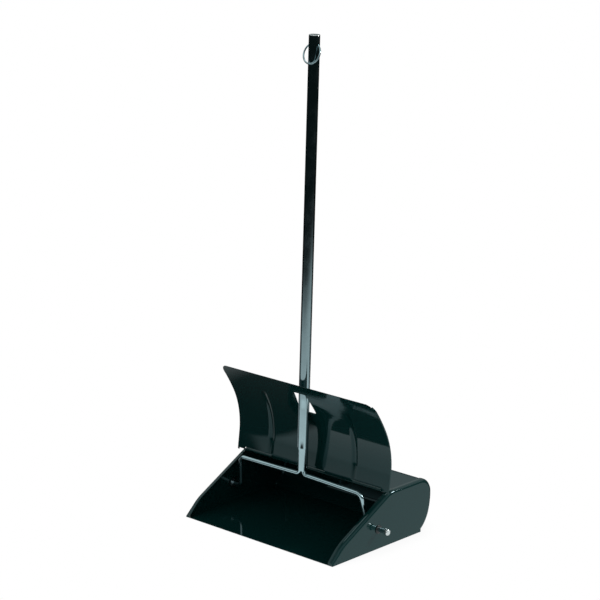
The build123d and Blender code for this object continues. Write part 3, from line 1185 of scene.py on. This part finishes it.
@dataclass
class Handle:
    """The chromed tube, its end plug and the hang ring."""

    finishes: Finishes
    foot: Vector
    up: Vector
    radius: float = 8.4 * MM
    wall: float = 1.2 * MM
    length: float = 658.0 * MM
    row: float = 6.0 * MM
    notch_past: float = 0.6 * MM
    notch_height: float = 36.0 * MM
    notch_corner: float = 5.0 * MM
    groove_top: float = 107.0 * MM
    groove_turn: float = math.radians(-57.0)
    groove_depth: float = 1.1 * MM
    groove_half: float = 3.6 * MM
    plug_rim: float = 2.0 * MM
    plug_neck: float = 9.0 * MM
    plug_edge: float = 1.2 * MM
    lap: float = 0.05 * MM
    ring_drop: float = 13.0 * MM
    ring_outside: float = 33.5 * MM
    ring_wire: float = 2.5 * MM
    ring_hole: float = 2.3 * MM
    ring_tilt: float = math.radians(20.5)
    ring_joint: float = math.radians(0.6)

    def build(self) -> None:
        """Makes the tube, the plug and the ring."""
        chrome, bright = self.finishes.chrome, self.finishes.bright_cap
        for piece, node, body, finish, slot in (
                (self.tube(), "handle_tube", "bail_and_handle", chrome, "chrome"),
                (self.plug(), "handle_plug", "bail_and_handle", bright, "chrome_cap"),
                (self.ring(), "hang_ring", "hang_ring", chrome, "chrome")):
            dress(piece, finish)
            settle(piece, body, node)

    def tube(self) -> bpy.types.Object:
        """The thin tube, drawn upright, cut and grooved, given its wall and then leaned back."""
        heights = [0.0, self.row]
        while heights[-1] < self.groove_top + 2.0 * self.row:
            heights.append(heights[-1] + self.row)
        heights += [self.length - 2.0 * self.ring_drop, self.length]
        outline = [(self.radius, height) for height in heights]
        tube = turned("chromed_tube", outline, Vector(), UP, 64)
        take(tube)
        edit()
        self.cut_notch()
        self.press_groove()
        self.drill_ring_holes()
        face_out()
        done()
        modify(tube, "SOLIDIFY", thickness=self.wall, offset=-1.0, use_even_offset=True)
        stand_along(tube, self.up, self.foot)
        return smooth(tube, 40.0)

    def cut_notch(self) -> None:
        """Cuts away the front left of the foot, with a rounded corner."""
        top, corner = self.notch_height, self.notch_corner
        centre = RIGHT * (self.notch_past - corner) + UP * (top - corner)
        planes = [(RIGHT * self.notch_past, RIGHT), (UP * top, UP)]
        planes += corner_planes(centre, RIGHT, corner)
        carve(planes, lambda middle: middle.y < -TOUCH and middle.z < top + corner)

    def press_groove(self) -> None:
        """Presses the shallow groove that grips the two legs, above the notch."""
        outward = Vector((math.cos(self.groove_turn), math.sin(self.groove_turn), 0.0))
        choose(Elements.POINTS, lambda place, _: place.dot(outward) > self.radius - 0.1 * MM
               and self.notch_height < place.z < self.groove_top)
        press(outward * -self.groove_depth, self.groove_half)

    def drill_ring_holes(self) -> None:
        """Drills the ring's cross hole through both walls."""
        centre = UP * (self.length - self.ring_drop)
        turns = [2.0 * math.pi * step / 12.0 for step in range(12)]
        normals = [Vector((0.0, math.cos(turn), math.sin(turn))) for turn in turns]
        carve([(centre + outward * self.ring_hole, outward) for outward in normals],
              lambda middle: middle.z > self.length - 2.0 * self.ring_drop
              and abs(middle.y) < 1.5 * self.ring_hole)

    def plug(self) -> bpy.types.Object:
        """The end plug: a rounded rim on the tube's end and a neck inside it."""
        neck = self.radius - self.wall - self.lap
        outline = [(0.0, self.plug_rim)] + edge_arc(self.radius, self.plug_rim, self.plug_edge) + [
            (self.radius, 0.0), (neck, 0.0), (neck, -self.plug_neck), (0.0, -self.plug_neck)]
        end = self.foot + self.up * self.length
        return smooth(turned("bright_plug", outline, end, self.up), 40.0)

    def ring(self) -> bpy.types.Object:
        """The hang ring: wire closed to a butt joint, hanging from the cross hole."""
        mean = (self.ring_outside - self.ring_wire) / 2.0
        reach = math.sqrt(mean ** 2 - (self.radius - self.wall / 2.0) ** 2)
        hang = math.atan2(self.up.y, self.up.z) + self.ring_tilt
        down = Vector((0.0, -math.sin(hang), -math.cos(hang)))
        middle = self.foot + self.up * (self.length - self.ring_drop) + down * reach
        axis = RIGHT.cross(down)
        ring = open_wire("chromed_ring", 20, self.ring_wire / 2.0, axis.cross(down).normalized(),
                         middle + down * mean)
        swing(middle, axis, 2.0 * math.pi - self.ring_joint, 72)
        close_wire()
        return smooth(ring, 40.0)


# ---- studio --------------------------------------------------------------------------------------


@dataclass
class Studio:
    """A pale floor, soft lights and the camera."""

    eye: tuple[float, float, float] = (2.2555, -2.4190, 1.2361)
    back: tuple[float, float, float] = (0.6614, -0.7041, 0.2584)
    lens: float = 137.9
    floor_radius: float = 2.6
    # Painted light and shade of the floor as the pan's reflections see it: its tint, a glow that
    # falls off with distance, and a painted shade band along the camera's heading.
    floor_colour: str = "#eef6f7"
    floor_away: tuple[tuple[float, float], ...] = (
        (0.0, 1.0), (0.5, 1.0), (0.95, 0.66), (1.33, 0.57), (1.56, 0.43), (1.8, 0.17), (2.15, 0.02))
    floor_along: tuple[tuple[float, float], ...] = (
        (-0.01, 1.0), (0.015, 1.0), (0.035, 0.05), (0.2, 0.05), (0.27, 0.6), (0.35, 0.4),
        (0.6, 0.0))
    # Painted contact shadow for the eye: ambient occlusion darkens the white glowing floor round
    # the pan.
    contact_mm: float = 60.0
    contact_shade: float = 0.86
    room: tuple[tuple[float, str], ...] = (
        (0.0, "#101818"), (0.1, "#5f6b6d"), (0.3, "#76868a"), (0.5, "#f2f8f8"), (0.72, "#e6eeee"),
        (1.0, "#3c4646"))
    side_light: tuple[float, float] = (2.2, 1.25)
    side_size: float = 0.45
    side_power: float = 30.0
    top_light: tuple[float, float, float] = (-0.3, 0.2, 2.6)
    top_size: float = 1.0
    top_power: float = 6.0
    sensor: float = 36.0

    def build(self) -> None:
        """Sets the floor, the world, the lights and the camera."""
        self.floor()
        self.world()
        toward_right = UP.cross(Vector(self.back)).normalized()
        beside, above = self.side_light
        self.light("right_softbox", toward_right * beside + UP * above, self.side_size,
                   self.side_power)
        self.light("overhead_softbox", Vector(self.top_light), self.top_size, self.top_power)
        self.camera()

    def floor(self) -> None:
        """A round pale floor under the pan.

        The floor glows rather than being lit. For the eye it is white, with a painted contact
        shadow where ambient occlusion darkens it round the pan. In the pan's reflections it shows
        painted light and shade: its glow falls off with distance from the pan, and a painted shade
        band lies across it, laid out along the camera's heading.
        """
        clear_selection()
        bpy.ops.mesh.primitive_circle_add(vertices=96, radius=self.floor_radius, fill_type="NGON")
        floor = bpy.context.object
        floor.name = "floor"
        edit()
        choose_all()
        bpy.ops.mesh.inset(thickness=self.floor_radius * 0.4)
        done()
        material, tree, output = blank("glowing_floor_with_painted_shade")
        place = add_node(tree, "ShaderNodeTexCoord")
        eye_turn = math.atan2(-self.back[0], -self.back[1])
        turned_place = add_node(tree, "ShaderNodeMapping", {"Vector": place.outputs["Object"]},
                                Rotation=(0.0, 0.0, eye_turn))
        axes = add_node(tree, "ShaderNodeSeparateXYZ", {"Vector": turned_place.outputs["Vector"]})
        reach = add_node(tree, "ShaderNodeVectorMath", {0: turned_place.outputs["Vector"]},
                         operation="LENGTH")
        # Painted light and shade for the pan's reflections: the glow falls off with distance, and a
        # painted shade band lies along the camera's heading.
        away = self.falloff(tree, reach.outputs["Value"], self.floor_away)
        along = self.falloff(tree, axes.outputs["Y"], self.floor_along)
        shade = add_node(tree, "ShaderNodeMath", {0: away, 1: along}, operation="MULTIPLY")
        painted_floor_reflection = add_node(tree, "ShaderNodeEmission", {"Strength": shade.outputs["Value"]},
                         Color=linear(self.floor_colour))
        # Painted contact shadow: ambient occlusion darkens the floor's white glow near the pan.
        near = add_node(tree, "ShaderNodeAmbientOcclusion", Distance=self.contact_mm * MM)
        painted_contact_shadow = spread(tree, near.outputs["AO"], (0.0, 0.8), (self.contact_shade, 1.0))
        camera_ray_look = add_node(tree, "ShaderNodeEmission", {"Strength": painted_contact_shadow}, Color=WHITE)
        rays = add_node(tree, "ShaderNodeLightPath")
        mixed = add_node(tree, "ShaderNodeMixShader",
                         {0: rays.outputs["Is Camera Ray"], 1: painted_floor_reflection.outputs["Emission"],
                          2: camera_ray_look.outputs["Emission"]})
        tree.links.new(mixed.outputs["Shader"], output.inputs["Surface"])
        floor.data.materials.append(material)

    def falloff(self, tree: bpy.types.NodeTree, distance: bpy.types.NodeSocket,
                stops: tuple[tuple[float, float], ...]) -> bpy.types.NodeSocket:
        """Painted brightness of the floor in the pan's reflections, along one direction.

        Args:
            tree: The floor's node tree.
            distance: Metres from the pan's middle.
            stops: Distances in rising order, each with the brightness there.

        Returns:
            The brightness.
        """
        low, high = stops[0][0], stops[-1][0]
        ramp = add_node(tree, "ShaderNodeValToRGB", {"Fac": spread(tree, distance, (low, high))})
        fill_ramp(ramp, [((metres - low) / (high - low), (level, level, level, 1.0))
                         for metres, level in stops])
        return ramp.outputs["Color"]

    def world(self) -> None:
        """White behind the pan, and a dim room in its reflections."""
        world = bpy.data.worlds.new("studio")
        bpy.context.scene.world = world
        world.use_nodes = True
        tree = world.node_tree
        tree.nodes.clear()
        output = add_node(tree, "ShaderNodeOutputWorld")
        rays = add_node(tree, "ShaderNodeLightPath")
        place = add_node(tree, "ShaderNodeTexCoord")
        axes = add_node(tree, "ShaderNodeSeparateXYZ", {"Vector": place.outputs["Generated"]})
        room = add_node(tree, "ShaderNodeValToRGB", {"Fac": axes.outputs["Z"]})
        fill_ramp(room, [(height, linear(colour)) for height, colour in self.room])
        camera_ray_look = add_node(tree, "ShaderNodeBackground", Color=WHITE, Strength=1.0)
        dim = add_node(tree, "ShaderNodeBackground", {"Color": room.outputs["Color"]}, Strength=1.0)
        mixed = add_node(tree, "ShaderNodeMixShader",
                         {0: rays.outputs["Is Camera Ray"], 1: dim.outputs["Background"],
                          2: camera_ray_look.outputs["Background"]})
        tree.links.new(mixed.outputs["Shader"], output.inputs["Surface"])

    def light(self, name: str, place: Vector, size: float, power: float) -> None:
        """A square soft light that faces the pan.

        Args:
            name: The light's name.
            place: Where it hangs.
            size: Its side in metres.
            power: Its power in watts.
        """
        data = bpy.data.lights.new(name, "AREA")
        data.size = size
        data.energy = power
        lamp = bpy.data.objects.new(name, data)
        lamp.location = place
        lamp.rotation_euler = (-place).to_track_quat("-Z", "Y").to_euler()
        bpy.context.scene.collection.objects.link(lamp)

    def camera(self) -> None:
        """The camera, level from side to side."""
        data = bpy.data.cameras.new("camera")
        data.lens = self.lens
        data.sensor_width = self.sensor
        camera = bpy.data.objects.new("camera", data)
        camera.location = self.eye
        camera.rotation_euler = (-Vector(self.back)).to_track_quat("-Z", "Y").to_euler()
        bpy.context.scene.collection.objects.link(camera)
        bpy.context.scene.camera = camera


def dress_frame_nodes(finishes: Finishes) -> None:
    """Gives the frame's own visible nodes their finishes."""
    wanted = {"black_enamel": finishes.enamel, "chrome": finishes.chrome,
              "chrome_cap": finishes.bright_cap, "zinc_steel": finishes.zinc,
              "black_plastic": finishes.nylon}
    for row in frame["record"]["subparts"]:
        node = frame["nodes"][row["node"]]
        for holder in node.material_slots:
            holder.material = wanted[row["material_slot"]]


@dataclass(frozen=True)
class HandleLine:
    """Where the tube's foot stands and how far the handle leans back."""

    lean: float = math.radians(2.28)
    back: float = 98.2 * MM
    height: float = 88.0 * MM

    def foot(self, lip: float) -> Vector:
        """The middle of the tube's foot."""
        return Vector((0.0, lip + self.back, self.height))

    def up(self) -> Vector:
        """Direction of the tube."""
        return Vector((0.0, math.sin(self.lean), math.cos(self.lean)))


def main() -> None:
    """Builds the pan piece by piece and sets its studio."""
    logging.basicConfig(level=logging.INFO, format="%(name)s %(message)s")
    scene = bpy.context.scene
    scene.view_settings.view_transform = "Standard"
    finishes = Finishes(
        enamel=StovedEnamel(lip_y=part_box("left_end_panel")[0].y).material(),
        chrome=PlatedMetal().material(),
        bright_cap=PlatedMetal("bright_nickel_cap", "#d5d9d8", 0.14).material(),
        zinc=PlatedMetal("zinc_plate", "#a9adb0", 0.3).material(),
        nylon=MouldedPlastic().material(),
    )
    dress_frame_nodes(finishes)
    Studio().build()
    pan = Pan(finishes)
    pan.build()
    Lid(finishes, pan.hinge, pan.lip).build()
    line = HandleLine()
    foot, up = line.foot(pan.lip), line.up()
    Bail(finishes, pan.lip, pan.middle, foot, up).build()
    Handle(finishes, foot, up).build()


if __name__ == "__main__":
    main()
